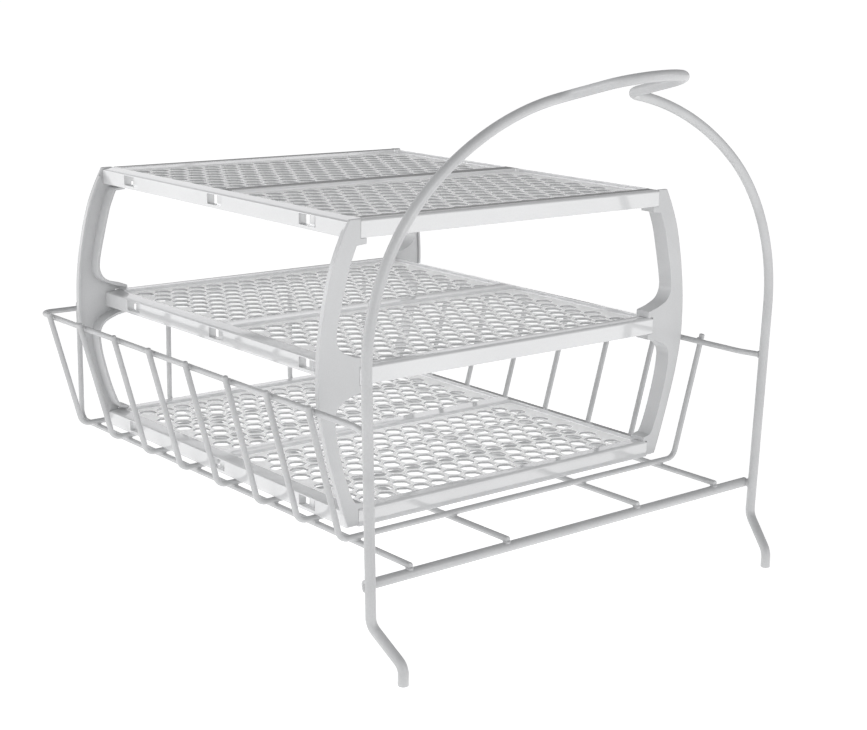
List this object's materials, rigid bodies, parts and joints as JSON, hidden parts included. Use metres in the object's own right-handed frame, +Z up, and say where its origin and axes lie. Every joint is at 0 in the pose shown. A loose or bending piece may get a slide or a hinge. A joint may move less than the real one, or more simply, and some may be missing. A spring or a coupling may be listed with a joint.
{
  "type": "shoe rack",
  "caption": "Welded wire basket with a tall arched front hoop and forward top loop, holding a loose tower of perforated moulded trays between bowed corner posts.",
  "frame": {"origin": "centre of the bounding box in X and Y, on the plane of the two foot tips (Z = 0)", "axes": "+Z up; +Y from the front hoop back along the basket; +X to the right when seen from the front"},
  "size_m": [0.4066, 0.5458, 0.4025],
  "materials": {
    "coated_wire": "satin light grey coating",
    "tray_plastic": "glossy off-white moulding",
    "post_plastic": "satin light grey moulding"
  },
  "bodies": {
    "basket": {"hoop": "coated_wire", "crossbar": "coated_wire", "rim_wire": "coated_wire", "rib_1": "coated_wire", "rib_2": "coated_wire", "rib_3": "coated_wire", "rib_4": "coated_wire", "rib_5": "coated_wire", "rib_6": "coated_wire", "rib_7": "coated_wire", "rib_8": "coated_wire", "floor_wire_1": "coated_wire", "floor_wire_2": "coated_wire", "floor_wire_3": "coated_wire", "floor_wire_4": "coated_wire"},
    "tower": {"tray_bottom": "tray_plastic", "tray_middle": "tray_plastic", "tray_top": "tray_plastic", "post_front_left": "post_plastic", "post_front_right": "post_plastic", "post_back_left": "post_plastic", "post_back_right": "post_plastic"}
  },
  "joints": [
    {"name": "tower_lift", "type": "slide", "parent": "basket", "child": "tower", "axis": [0, 0, 1], "range_m": [0, 0.12]}
  ]
}
